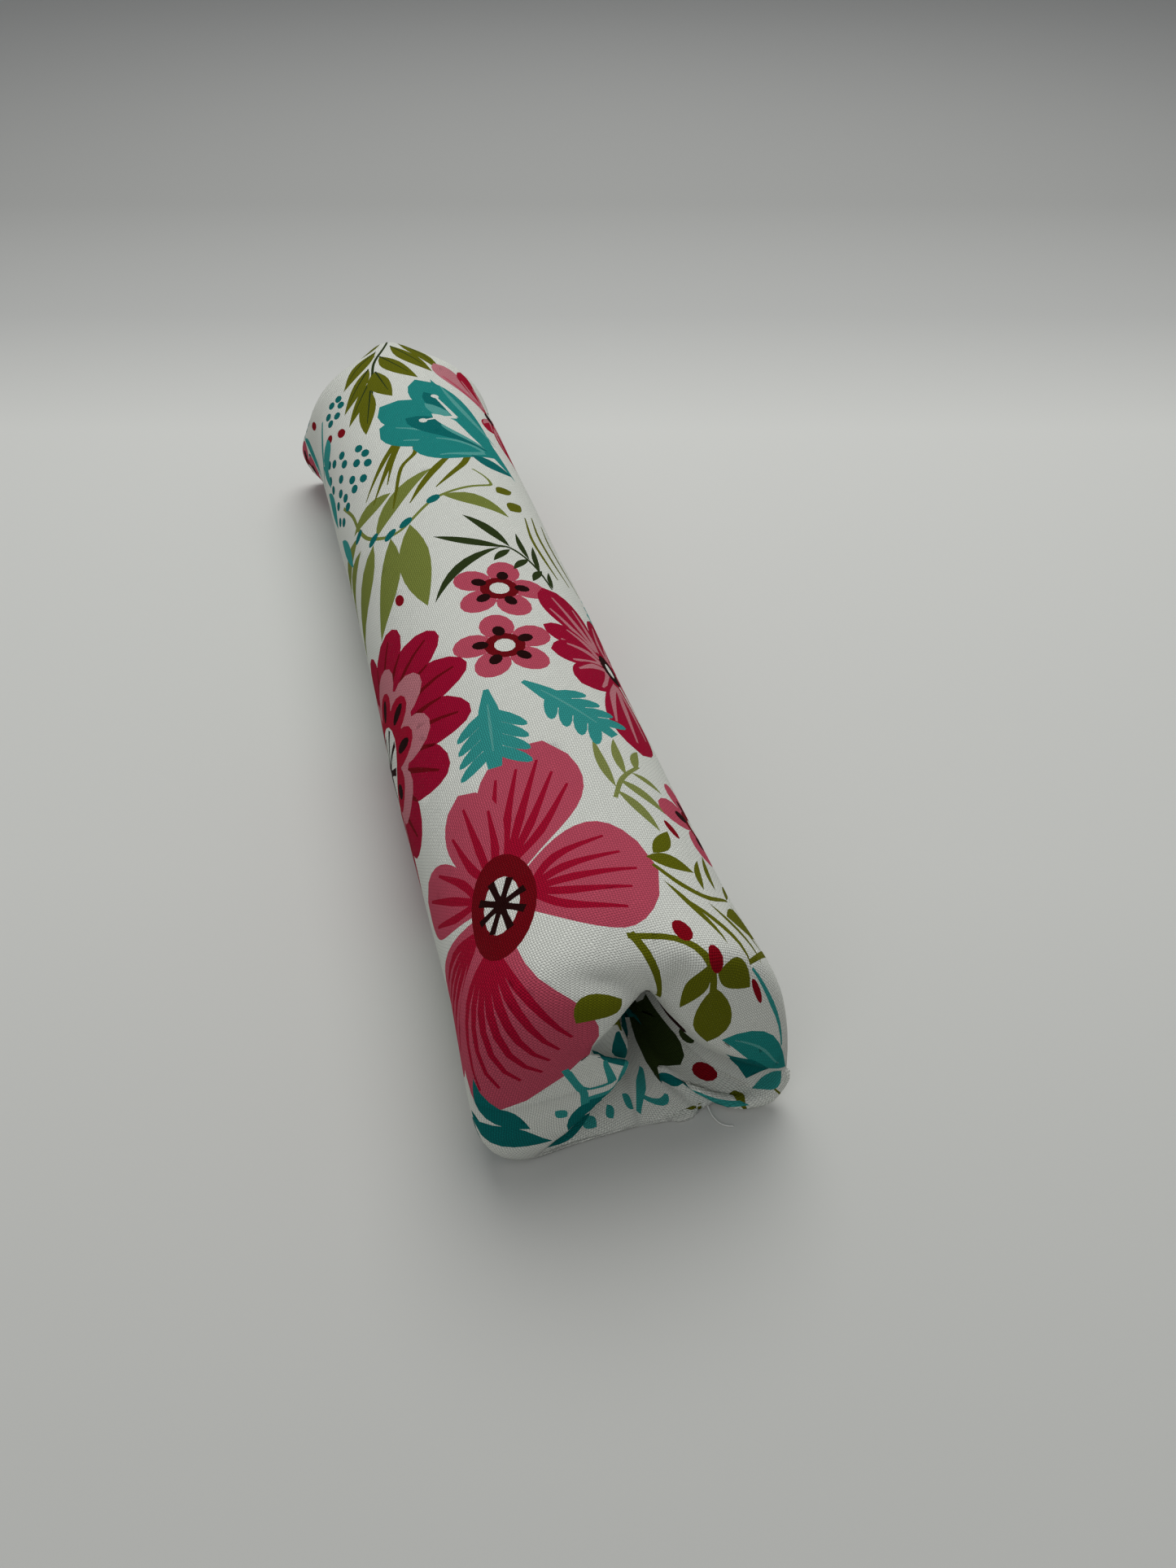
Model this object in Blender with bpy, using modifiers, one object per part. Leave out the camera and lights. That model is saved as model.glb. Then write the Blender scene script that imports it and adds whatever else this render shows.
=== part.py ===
"""A small bolt of quilting cotton: cloth rolled on a card tube, with both ends tucked in.

Metres, +Z up. The roll lies along Y on its flat underside. The origin is the centre of the
footprint. The near end is at -Y. Angles run round the roll from its top towards +X.
"""

import math

import bmesh
import bpy
import numpy as np

# The finished roll, lying down
ROLL_LENGTH = 0.245
ROLL_WIDTH = 0.051
ROLL_HEIGHT = 0.044
WIDEST_AT_SHARE = 0.46  # height of the widest line, as a share of ROLL_HEIGHT
TOP_POWER = 2.2  # superellipse powers of the upper and lower halves
UNDER_POWER = 2.9
UNDER_PRESS = 1.03  # how far past the floor the lower half would go if nothing pressed it flat

# The card tube
CORE_RADIUS = 0.013
CORE_WALL = 0.0018
CORE_SETBACK = 0.028  # from the roll's end to the tube's end

# The cloth
BAND_THICKNESS = 0.0010  # of the inner turns
WRAP_THICKNESS = 0.0006  # of the last turn and of the tucked ends
LAP_ANGLE = 26.0  # degrees that the free edge laps over the turn beneath
LAP_CLIMB = 40.0  # degrees over which the cloth beneath climbs back out
FREE_EDGE_ANGLE = 128.0  # degrees from the top to the free edge
CLEARANCE = 0.0003

# The ends
END_FOLD_DEPTH = 0.024  # length of the folded collar at each end
RIM_ROLL = 0.0030  # distance between the two sides of the rolled rim
SHOULDER_ROUND = 0.0012  # how far the cloth turns in at the front of the collar
FLARE_START = 0.0132  # depth where an end has flared by FLARE_SHARE
FLARE_SHARE = 0.45
FLARE_DONE = 0.0039  # depth where it is fully flared
FUNNEL_SHARE = 0.45  # how far the funnel has closed, half way down, from the rim to the tube
TAIL_LENGTH = 0.012  # how far the tucked cloth goes into the tube
NEAR_END_WIDTH = 0.057
FAR_END_WIDTH = 0.060
RIM_SMOOTHING = 9.0  # degrees each way over which the rim's direction is read
END_UNDER_POWER = 4.5  # the lower corners are squarer at the ends
FAR_END_TOP_POWER = 1.45  # below 2 the far end rises to a point, like a tent

# Facets
SHOULDER = 3  # the key row at the front of the collar
COLLAR_END = 2.8  # where the collar ends, in key rows
RIM_STEPS = 4  # rows from there to the rim
SECTION_STEPS = 48
ROW_STEPS = 2
BORE_STEPS = 48

# The mouth of the near end: (degrees, share of half width, share of height, depth in metres)
NEAR_MOUTH = (
    (0, 0.12, 0.80, 0.0048),
    (25, 0.32, 0.66, 0.0034),
    (50, 0.50, 0.49, 0.0022),
    (75, 0.70, 0.35, 0.0016),
    (95, 0.84, 0.25, 0.0014),
    (112, 0.86, 0.15, 0.0016),
    (130, 0.77, 0.08, 0.0010),
    (150, 0.56, 0.05, 0.0008),
    (180, 0.05, 0.05, -0.0008),
    (208, -0.40, 0.06, -0.0002),
    (228, -0.60, 0.11, 0.0010),
    (248, -0.60, 0.21, 0.0018),
    (268, -0.44, 0.29, 0.0016),
    (290, -0.26, 0.37, 0.0012),
    (310, -0.14, 0.50, 0.0012),
    (328, -0.10, 0.62, 0.0016),
    (345, -0.08, 0.73, 0.0030),
)
# The mouth of the far end, which is wider and lower
FAR_MOUTH = (
    (0, 0.00, 0.84, 0.0018),
    (30, 0.24, 0.66, 0.0014),
    (60, 0.50, 0.45, 0.0010),
    (88, 0.78, 0.27, 0.0014),
    (110, 0.86, 0.15, 0.0018),
    (130, 0.77, 0.07, 0.0012),
    (150, 0.52, 0.05, 0.0002),
    (180, 0.00, 0.05, -0.0008),
    (210, -0.52, 0.05, 0.0002),
    (230, -0.77, 0.07, 0.0012),
    (250, -0.86, 0.15, 0.0018),
    (272, -0.78, 0.27, 0.0014),
    (300, -0.50, 0.45, 0.0010),
    (330, -0.24, 0.66, 0.0014),
)
# Where the turned-in cloth divides into its folds, in degrees, and the gaps around them
TUCK_SPLIT = 4.4
COLLAR_GAP = 0.0006
TUCKS = {
    "top_pleat": (-20.0, 20.0),
    "right_tuck": (20.0, 118.0),
    "floor_tuck": (118.0, 226.0),
    "left_tuck": (226.0, 340.0),
}

# Finishes: base colour and roughness
KRAFT_CARD = ((0.52, 0.40, 0.27), 0.85)
INNER_CLOTH = ((0.86, 0.85, 0.82), 0.90)
OUTER_CLOTH = ((0.87, 0.86, 0.84), 0.85)
END_CLOTH = ((0.86, 0.85, 0.83), 0.85)
TUCKED_CLOTH = ((0.80, 0.80, 0.78), 0.88)

COLLECTION = "fabric_bolt"
CORE_HEIGHT = ROLL_HEIGHT / 2
TUBE_BORE = CORE_RADIUS - CORE_WALL


def power(value, exponent):
    """value to a power, keeping its sign."""
    return np.sign(value) * np.abs(value) ** exponent


def section(degrees, inset=0.0, width=ROLL_WIDTH, top_power=TOP_POWER, under_power=UNDER_POWER):
    """Points (x, z) on the roll's outline moved inwards by inset, at angles from the top."""
    angle = np.radians(np.asarray(degrees, float))
    across, up = np.sin(angle), np.cos(angle)
    middle = WIDEST_AT_SHARE * ROLL_HEIGHT
    upper, lower = ROLL_HEIGHT - middle - inset, middle - inset
    exponent = np.where(up > 0, 2 / top_power, 2 / under_power)
    x = (width / 2 - inset) * power(across, exponent)
    z = middle + np.where(up > 0, upper, lower * UNDER_PRESS) * power(up, exponent)
    return np.stack([x, np.maximum(z, inset)], axis=-1)


def loop(stations, degrees):
    """A smooth closed curve through (angle, x, y, z) stations, read at angles."""
    table = np.array(stations, float)
    angles = np.concatenate([table[:, 0] - 360, table[:, 0], table[:, 0] + 360])
    points = np.tile(table[:, 1:], (3, 1))
    slopes = np.gradient(points, angles, axis=0)
    wanted = np.mod(np.asarray(degrees, float), 360)
    after = np.searchsorted(angles, wanted, side="right")
    start, end = angles[after - 1], angles[after]
    return hermite(
        (wanted - start) / (end - start),
        points[after - 1],
        points[after],
        slopes[after - 1] * (end - start)[:, None],
        slopes[after] * (end - start)[:, None],
    )


def hermite(t, p0, p1, m0, m1):
    """A cubic from p0 to p1 that leaves along m0 and arrives along m1."""
    t = np.asarray(t)[..., None]
    return (
        (2 * t**3 - 3 * t**2 + 1) * p0
        + (t**3 - 2 * t**2 + t) * m0
        + (3 * t**2 - 2 * t**3) * p1
        + (t**3 - t**2) * m1
    )


def between_rows(rows, places):
    """Rows of a cubic B-spline surface over key rows. A place is counted in key rows, and is
    one number for the whole row or one for each of its points."""
    rows = np.array([2 * rows[0] - rows[1], *rows, 2 * rows[-1] - rows[-2]])
    columns = np.arange(rows.shape[1])
    out = []
    for place in places:
        place = np.broadcast_to(place, columns.shape)
        first = np.minimum(place.astype(int), len(rows) - 4)
        t = (place - first)[:, None]
        out.append(
            (1 - t) ** 3 / 6 * rows[first, columns]
            + (3 * t**3 - 6 * t**2 + 4) / 6 * rows[first + 1, columns]
            + (-3 * t**3 + 3 * t**2 + 3 * t + 1) / 6 * rows[first + 2, columns]
            + t**3 / 6 * rows[first + 3, columns]
        )
    return np.array(out)


def material(name, colour, roughness):
    made = bpy.data.materials.new(name)
    made.use_nodes = True
    shader = made.node_tree.nodes["Principled BSDF"]
    shader.inputs["Base Color"].default_value = (*colour, 1.0)
    shader.inputs["Roughness"].default_value = roughness
    shader.inputs["Metallic"].default_value = 0.0
    return made


def node(name, mesh, finish):
    """An object in the model's collection, with its own material."""
    made = bpy.data.objects.new(name, mesh)
    mesh.materials.append(material(name, *finish))
    bpy.data.collections[COLLECTION].objects.link(made)
    return made


def cloth(name, rows, ring, thickness, offset, finish):
    """A loft through rows of points, thickened into one closed shell."""
    lofted = bmesh.new()
    grid = [[lofted.verts.new(point) for point in row] for row in rows]
    columns = len(grid[0])
    for low, high in zip(grid, grid[1:]):
        for i in range(columns if ring else columns - 1):
            j = (i + 1) % columns
            lofted.faces.new((low[i], low[j], high[j], high[i]))
    mesh = bpy.data.meshes.new(name)
    lofted.to_mesh(mesh)
    lofted.free()
    mesh.shade_smooth()
    made = node(name, mesh, finish)
    shell = made.modifiers.new("Cloth", "SOLIDIFY")
    shell.thickness = thickness
    shell.offset = offset
    return made


def along(points, y):
    """(x, z) points set at a place along the roll."""
    return np.stack([points[:, 0], np.full(len(points), y), points[:, 1]], axis=-1)


def core_tube():
    """The spiral-wound card tube that the cloth is rolled on."""
    half = ROLL_LENGTH / 2 - CORE_SETBACK
    profile = bmesh.new()
    corners = (
        (CORE_RADIUS, half),
        (CORE_RADIUS, -half),
        (TUBE_BORE, -half),
        (TUBE_BORE, half),
    )
    verts = [profile.verts.new((radius, 0, height)) for radius, height in corners]
    for i, vert in enumerate(verts):
        profile.edges.new((vert, verts[(i + 1) % len(verts)]))
    mesh = bpy.data.meshes.new("core_tube")
    profile.to_mesh(mesh)
    profile.free()
    made = node("core_tube", mesh, KRAFT_CARD)
    turned = made.modifiers.new("Turned", "SCREW")
    turned.steps = turned.render_steps = BORE_STEPS
    turned.use_merge_vertices = True
    turned.merge_threshold = 0.00001
    made.location.z = CORE_HEIGHT
    made.rotation_euler.x = math.radians(90)


def under_lap(degrees):
    """1 where a turn lies beneath the lap, 0 where it is clear of it, at angles from the top."""
    past = np.mod(np.asarray(degrees, float) - (FREE_EDGE_ANGLE - LAP_ANGLE), 360)
    leaving = 1 - (past - LAP_ANGLE) / LAP_CLIMB
    coming = 1 - (360 - past) / (LAP_CLIMB / 2)
    return np.clip(np.maximum(leaving, coming), 0, 1)


def inner_turns():
    """The rolled cloth inside, from the round tube out to the flattened outer turn."""
    layer = WRAP_THICKNESS + CLEARANCE
    first = CORE_RADIUS + CLEARANCE + BAND_THICKNESS / 2
    last = layer + BAND_THICKNESS / 2
    least_space = section([0.0], last + layer)[0, 1] - CORE_HEIGHT - first
    turns = max(1, int(least_space / (BAND_THICKNESS + CLEARANCE)))
    degrees = np.linspace(0, 360 * turns, turns * SECTION_STEPS + 1)
    share = (degrees / (360 * turns))[:, None]
    angle = np.radians(degrees)
    tight = np.stack([first * np.sin(angle), CORE_HEIGHT + first * np.cos(angle)], axis=-1)
    loose = np.array(
        [section([turn], last + layer * under_lap(turn))[0] for turn in degrees]
    )
    path = (1 - share) * tight + share * loose
    half = ROLL_LENGTH / 2 - CORE_SETBACK
    rows = [along(path, -half), along(path, half)]
    cloth("inner_turns", rows, False, BAND_THICKNESS, 0, INNER_CLOTH)


def outer_turn():
    """The last turn, whose free edge laps over its own start low on the +X side."""
    layer = WRAP_THICKNESS + CLEARANCE
    count = round(SECTION_STEPS * (360 + LAP_ANGLE) / 360)
    degrees = np.linspace(0, 360 + LAP_ANGLE, count + 1)
    climb = np.clip((degrees - LAP_ANGLE) / LAP_CLIMB, 0, 1)
    path = np.array(
        [
            section([FREE_EDGE_ANGLE - LAP_ANGLE + turn], (1 - risen) * layer)[0]
            for turn, risen in zip(degrees, climb)
        ]
    )
    half = ROLL_LENGTH / 2 - END_FOLD_DEPTH - CLEARANCE / 2
    rows = [along(path, -half), along(path, half)]
    cloth("outer_turn", rows, False, WRAP_THICKNESS, -1, OUTER_CLOTH)


def end_rows(degrees, mouth, width, top_power):
    """Key rows of one end's cloth, as (x, depth, z): the collar, the rim, the funnel, the tail."""

    def collar(depth, spread, inset=0.0):
        whole_width = ROLL_WIDTH + spread * (width - ROLL_WIDTH)
        upper = TOP_POWER + spread * (top_power - TOP_POWER)
        under = UNDER_POWER + spread * (END_UNDER_POWER - UNDER_POWER)
        return along(section(degrees, inset, whole_width, upper, under), depth)

    shoulder = collar(SHOULDER_ROUND, 1.0, SHOULDER_ROUND)
    lowness = np.clip(1 - shoulder[:, 2] / (WIDEST_AT_SHARE * ROLL_HEIGHT), 0, 1)
    shoulder[:, 2] = np.maximum(shoulder[:, 2] - lowness * RIM_ROLL, 0)

    stations = [
        (turn, share * width / 2, depth, height * ROLL_HEIGHT)
        for turn, share, height, depth in mouth
    ]
    rim = loop(stations, degrees)
    way = loop(stations, degrees + RIM_SMOOTHING) - loop(stations, degrees - RIM_SMOOTHING)
    inward = np.stack([way[:, 2], np.zeros(len(way)), -way[:, 0]], axis=-1)
    inward /= np.linalg.norm(inward, axis=1)[:, None]
    inside = rim + RIM_ROLL * inward
    inside[:, 1] += RIM_ROLL

    angle = np.radians(degrees)
    radius = TUBE_BORE - CLEARANCE - WRAP_THICKNESS
    across, up = radius * np.sin(angle), CORE_HEIGHT + radius * np.cos(angle)
    ring = np.stack([across, up], axis=-1)
    throat = along(ring, CORE_SETBACK - 2 * RIM_ROLL)
    funnel = (1 - FUNNEL_SHARE) * inside + FUNNEL_SHARE * throat
    return [
        collar(END_FOLD_DEPTH, 0.0),
        collar(FLARE_START, FLARE_SHARE),
        collar(FLARE_DONE, 1.0),
        shoulder,
        rim,
        inside,
        funnel,
        throat,
        along(ring, CORE_SETBACK + RIM_ROLL),
        along(ring, CORE_SETBACK + TAIL_LENGTH),
    ]


def roll_end(prefix, side, mouth, width, top_power):
    """The collar and the four tucks of one end. side is -1 for the near end, +1 for the far."""
    def placed(rows):
        turned = np.array(rows)
        turned[:, :, 1] = side * (ROLL_LENGTH / 2 - turned[:, :, 1])
        return turned if side < 0 else turned[:, ::-1]

    whole = np.arange(0, 360, 360 / SECTION_STEPS)
    keys = end_rows(whole, mouth, width, top_power)
    keys[0][:, 1] -= CLEARANCE / 2
    places = np.append(np.arange(0, SHOULDER * ROW_STEPS) / ROW_STEPS, COLLAR_END)
    collar = placed(between_rows(keys, places))
    cloth(f"{prefix}_end_fold", collar, True, WRAP_THICKNESS, 1, END_CLOTH)
    for name, (start, end) in TUCKS.items():
        count = max(4, round((end - start) / (360 / SECTION_STEPS)))
        fan = np.linspace(start + TUCK_SPLIT / 2, end - TUCK_SPLIT / 2, count + 1)
        keys = end_rows(fan, mouth, width, top_power)
        rim, last = SHOULDER + 1, len(keys) - 1
        reach = np.linalg.norm(keys[rim] - keys[SHOULDER], axis=1)
        seam = SHOULDER + np.minimum(COLLAR_GAP / reach, 0.5)
        turning = [seam + (rim - seam) * i / RIM_STEPS for i in range(RIM_STEPS)]
        onward = rim + np.arange((last - rim) * ROW_STEPS + 1) / ROW_STEPS
        tuck = placed(between_rows(keys, [*turning, *onward]))
        cloth(f"{prefix}_{name}", tuck, False, WRAP_THICKNESS, 1, TUCKED_CLOTH)


for leftover in list(bpy.data.objects):
    bpy.data.objects.remove(leftover, do_unlink=True)
bpy.context.scene.collection.children.link(bpy.data.collections.new(COLLECTION))

core_tube()
inner_turns()
outer_turn()
roll_end("near", -1, NEAR_MOUTH, NEAR_END_WIDTH, TOP_POWER)
roll_end("far", 1, FAR_MOUTH, FAR_END_WIDTH, FAR_END_TOP_POWER)
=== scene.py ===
"""A small bolt of floral quilting cotton, rolled on a card tube, with both ends tucked in.

Metres, +Z up. The roll lies along Y, and the end that is nearest the camera is at -Y.
The cloth is drawn in its own flat millimetres: u goes round the roll from its crest
towards +X, and v goes along it from the near end.
"""

import math

import bpy
import numpy as np
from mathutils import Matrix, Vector
from mathutils.geometry import delaunay_2d_cdt


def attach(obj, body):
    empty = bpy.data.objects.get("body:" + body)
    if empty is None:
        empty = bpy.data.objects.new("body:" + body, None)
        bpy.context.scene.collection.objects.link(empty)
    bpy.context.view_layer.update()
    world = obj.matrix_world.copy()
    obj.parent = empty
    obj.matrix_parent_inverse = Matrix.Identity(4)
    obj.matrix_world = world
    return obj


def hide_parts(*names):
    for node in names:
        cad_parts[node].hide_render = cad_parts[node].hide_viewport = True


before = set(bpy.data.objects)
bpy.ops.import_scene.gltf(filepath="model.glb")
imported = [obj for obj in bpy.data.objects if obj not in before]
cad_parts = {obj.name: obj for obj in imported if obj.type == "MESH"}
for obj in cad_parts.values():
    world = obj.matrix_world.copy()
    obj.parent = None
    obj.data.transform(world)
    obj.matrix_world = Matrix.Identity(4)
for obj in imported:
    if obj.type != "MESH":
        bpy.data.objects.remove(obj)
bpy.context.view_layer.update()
MM = 0.001


# --------------------------------------------------------------------- The card tube
# A spiral-wound tube of grey-brown kraft card. The cloth is rolled on it, and its ends
# stand back inside the tucked cloth. It is the CAD node, with a card finish.


class Socket:
    """A node's output in one material's tree, so that a finish reads as an expression."""

    def __init__(self, tree, output=None):
        self.tree, self.output = tree, output

    def node(self, kind, settings=None, inputs=None, output=0):
        made = self.tree.nodes.new("ShaderNode" + kind)
        for name, value in (settings or {}).items():
            if name == "stops":
                ramp = made.color_ramp.elements
                while len(ramp) < len(value):
                    ramp.new(0.5)
                for stop, (place, colour) in zip(ramp, value):
                    stop.position, stop.color = place, (*colour, 1)
            else:
                setattr(made, name, value)
        for key, value in (inputs or {}).items():
            if isinstance(value, Socket):
                self.tree.links.new(value.output, made.inputs[key])
            else:
                made.inputs[key].default_value = value
        return Socket(self.tree, made.outputs[output])

    def math(self, operation, *values):
        return self.node("Math", {"operation": operation}, dict(enumerate(values)))

    def mix(self, share, first, second, blend="MIX"):
        """first and second are colours, mixed by share."""
        return self.node(
            "Mix",
            {"data_type": "RGBA", "blend_type": blend},
            {0: share, 6: first, 7: second},
            2,
        )

    def __add__(self, other):
        return self.math("ADD", self, other)

    def __sub__(self, other):
        return self.math("SUBTRACT", self, other)

    def __mul__(self, other):
        return self.math("MULTIPLY", self, other)

    __radd__, __rmul__ = __add__, __mul__

    def __rsub__(self, other):
        return self.math("SUBTRACT", other, self)


def finish(name, roughness, **fixed):
    """A new material, and the start of its expressions. fixed are sockets set all over."""
    made = bpy.data.materials.new(name)
    made.use_nodes = True
    shader = made.node_tree.nodes["Principled BSDF"]
    shader.inputs["Roughness"].default_value = roughness
    for socket, value in fixed.items():
        shader.inputs[socket.replace("_", " ")].default_value = value
    return made, Socket(made.node_tree), shader


def feed(shader, socket, value):
    """Links an expression to one of the shader's sockets."""
    value.tree.links.new(value.output, shader.inputs[socket])


card, graph, shader = finish("kraft_card", 0.85, Specular_IOR_Level=0.3)
place = graph.node("TexCoord", output="Object")
fibres = graph.node("TexNoise", inputs={"Vector": place, "Scale": 900.0, "Detail": 4.0})
mottle = graph.node("TexNoise", inputs={"Vector": place, "Scale": 120.0, "Detail": 3.0})
winding = graph.node(
    "TexWave",
    {"bands_direction": "DIAGONAL"},
    {"Vector": place, "Scale": 11.0, "Distortion": 0.4},
    1,
)
seam = winding.math("POWER", winding, 24.0)
tone = graph.mix(fibres * 0.5 + mottle * 0.5, (0.33, 0.23, 0.14, 1), (0.50, 0.38, 0.25, 1))
feed(shader, "Base Color", graph.mix(seam * 0.5, tone, (0.16, 0.11, 0.07, 1)))
feed(shader, "Roughness", 0.78 + 0.14 * fibres)
feed(
    shader, "Normal",
    graph.node("Bump", inputs={"Strength": 0.4, "Distance": 0.0002, "Height": fibres}),
)
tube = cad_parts["core_tube"]
tube.data.materials.clear()
tube.data.materials.append(card)


# --------------------------------------------------------------- The rolled cloth inside
# The rest of the length: cotton folded in three and wound nine times round the tube.
# It is one strip, wound as a spiral that grows from the round tube to the flattened roll.

ROLL_WIDTH, ROLL_HEIGHT = 51.0, 44.0
WIDEST = 0.46 * ROLL_HEIGHT  # the height of the widest line
TUBE_RADIUS = 13.0
CREST = ROLL_HEIGHT / 2


def power(value, exponent):
    """value to a power, keeping its sign."""
    return np.sign(value) * np.abs(value) ** exponent


def section(degrees, inset=0.0):
    """(x, z) on the roll's outline, moved inwards, at angles from the crest towards +X."""
    angle = np.radians(np.asarray(degrees, float))
    across, up = np.sin(angle), np.cos(angle)
    exponent = np.where(up > 0, 2 / 2.2, 2 / 2.9)
    upper, lower = ROLL_HEIGHT - WIDEST - inset, (WIDEST - inset) * 1.03
    x = (ROLL_WIDTH / 2 - inset) * power(across, exponent)
    z = WIDEST + np.where(up > 0, upper, lower) * power(up, exponent)
    return np.stack([x, np.maximum(z, inset)], axis=-1)


def thicken(piece, thickness):
    """Gives a cloth its thickness, inwards from the drawn side."""
    shell = piece.modifiers.new("Thickness", "SOLIDIFY")
    shell.thickness, shell.offset = thickness, -1
    bpy.context.view_layer.objects.active = piece
    with bpy.context.temp_override(object=piece, active_object=piece):
        bpy.ops.object.modifier_apply(modifier=shell.name)


TURNS = 9
TURN_STEPS = 72
INNER_HALF = 94.4  # half the length of cloth that shows no fold
INNER_THICKNESS = 0.75
turned = np.linspace(0, 1, TURNS * TURN_STEPS + 1)
angle = np.radians(360 * TURNS * turned)
tight = (TUBE_RADIUS + 0.6) * np.stack([np.sin(angle), np.cos(angle)], axis=-1)
tight[:, 1] += CREST
loose = section(360 * TURNS * turned, 1.75)
spiral = tight + (loose - tight) * turned[:, None]
spiral[:, 1] += 0.15 * np.sin(3 * angle) * turned
stations = np.linspace(-INNER_HALF, INNER_HALF, 5)
points = [(x * MM, y * MM, z * MM) for y in stations for x, z in spiral]
step = len(spiral)
faces = [
    (row * step + i, (row + 1) * step + i, (row + 1) * step + i + 1, row * step + i + 1)
    for row in range(len(stations) - 1)
    for i in range(step - 1)
]
mesh = bpy.data.meshes.new("rolled_cloth")
mesh.from_pydata(points, [], faces)
mesh.shade_smooth()
rolled = bpy.data.objects.new("rolled_cloth", mesh)
bpy.context.scene.collection.objects.link(rolled)
thicken(rolled, INNER_THICKNESS * MM)

plain, graph, shader = finish("undyed_cotton", 0.9, Specular_IOR_Level=0.2, Sheen_Weight=0.1)
place = graph.node("TexCoord", output="Object")
threads = graph.node("TexNoise", inputs={"Vector": place, "Scale": 2200.0, "Detail": 2.0})
folds = graph.node("TexNoise", inputs={"Vector": place, "Scale": 60.0, "Detail": 3.0})
feed(shader, "Base Color", graph.mix(folds, (0.58, 0.57, 0.52, 1), (0.72, 0.71, 0.66, 1)))
feed(shader, "Roughness", 0.86 + 0.08 * threads)
feed(
    shader, "Normal",
    graph.node("Bump", inputs={"Strength": 0.3, "Distance": 0.0001, "Height": threads}),
)
mesh.materials.append(plain)
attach(rolled, "root")
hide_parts("inner_turns")


# ------------------------------------------------------------------ The printed cotton
# The last turn of the same cloth, printed side out: one piece from its free folded edge,
# low on the +X side, round the roll and under that edge. Both ends reach past the tube
# and are pushed into it, which leaves the pinch, the two lobes and the flap of the mouth.

FREE_EDGE = 128.0  # degrees from the crest
LAP = 13.0  # how far the free edge laps over the start
NEAR_LIP, FAR_LIP = -122.4, 122.4  # where the ends' lips stand
START, FINISH = 28.0, 224.8  # v where the ends begin to close
MIDDLE_V = 126.4  # v at the middle of the roll
CLOTH_THICKNESS = 0.38

fine = np.linspace(0, 360, 2881)
outline = section(fine)
around = np.concatenate([[0], np.cumsum(np.linalg.norm(np.diff(outline, axis=0), axis=1))])
GIRTH = float(around[-1])
EDGE_U = float(np.interp(FREE_EDGE, fine, around))
U_LOW, U_HIGH = EDGE_U - GIRTH - LAP, EDGE_U


def degrees_at(u):
    """The angle round the roll at u millimetres from the crest."""
    return np.interp(np.mod(u, GIRTH), around, fine)


def loop(stations, degrees):
    """A smooth closed curve through (angle, x, y, z) stations, read at angles."""
    table = np.array(stations, float)
    turns = np.concatenate([table[:, 0] - 360, table[:, 0], table[:, 0] + 360])
    spots = np.tile(table[:, 1:], (3, 1))
    slopes = np.gradient(spots, turns, axis=0)
    wanted = np.mod(degrees, 360)
    after = np.searchsorted(turns, wanted, side="right")
    span = (turns[after] - turns[after - 1])[:, None]
    t = (wanted - turns[after - 1])[:, None] / span
    return (
        (2 * t**3 - 3 * t**2 + 1) * spots[after - 1]
        + (t**3 - 2 * t**2 + t) * slopes[after - 1] * span
        + (3 * t**2 - 2 * t**3) * spots[after]
        + (t**3 - t**2) * slopes[after] * span
    )


def ring(radius, y):
    """A round row, where the tucked cloth lies in the tube."""
    return lambda turn: np.stack(
        [
            radius * np.sin(np.radians(turn)),
            np.full(len(turn), float(y)),
            CREST + radius * np.cos(np.radians(turn)),
        ],
        axis=-1,
    )


def body(y, width=ROLL_WIDTH):
    """A row of the plain roll, a little wider where it spreads towards an end."""
    def row(turn):
        spot = section(turn)
        return np.stack(
            [spot[:, 0] * width / ROLL_WIDTH, np.full(len(turn), float(y)), spot[:, 1]], -1,
        )
    return row


def shaped(*stations):
    return lambda turn: loop(stations, turn)


# Rows of the near end, from the roll to the tube; y runs from its lip at 0 inwards
brow = shaped(
    (0, 2, 9.5, 42.0), (20, 11, 6.5, 43), (45, 20.3, 5.5, 39), (70, 26.0, 5.0, 30),
    (95, 27.9, 5.0, 17), (115, 27.4, 4.6, 8.5), (135, 24, 4, 3), (155, 16, 4, 0.6),
    (180, 0, 4, 0.2), (205, -16, 4, 0.6), (225, -22.6, 4.5, 2.5), (245, -25.8, 5, 8),
    (265, -26.4, 5, 16), (290, -24.6, 6, 29), (315, -18.6, 7.5, 38), (340, -9, 9, 42.4),
)
shoulder = shaped(
    (0, 3, 6.5, 39.6), (20, 10, 4.0, 40.6), (45, 18.5, 2.6, 35.2), (70, 25, 1.8, 25.5),
    (95, 27.9, 1.4, 15), (115, 27.6, 1.2, 8), (135, 25, 1, 3), (155, 17, 1.8, 0.8),
    (180, 0, 2.8, 0.3), (205, -15, 2.2, 0.6), (225, -21, 1.4, 1.4), (245, -24.2, 1.5, 5.5),
    (265, -24.2, 1.8, 13.5), (290, -20.2, 2.4, 25), (315, -13, 3.2, 35.0), (340, -4.2, 5.0, 40.2),
)
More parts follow.
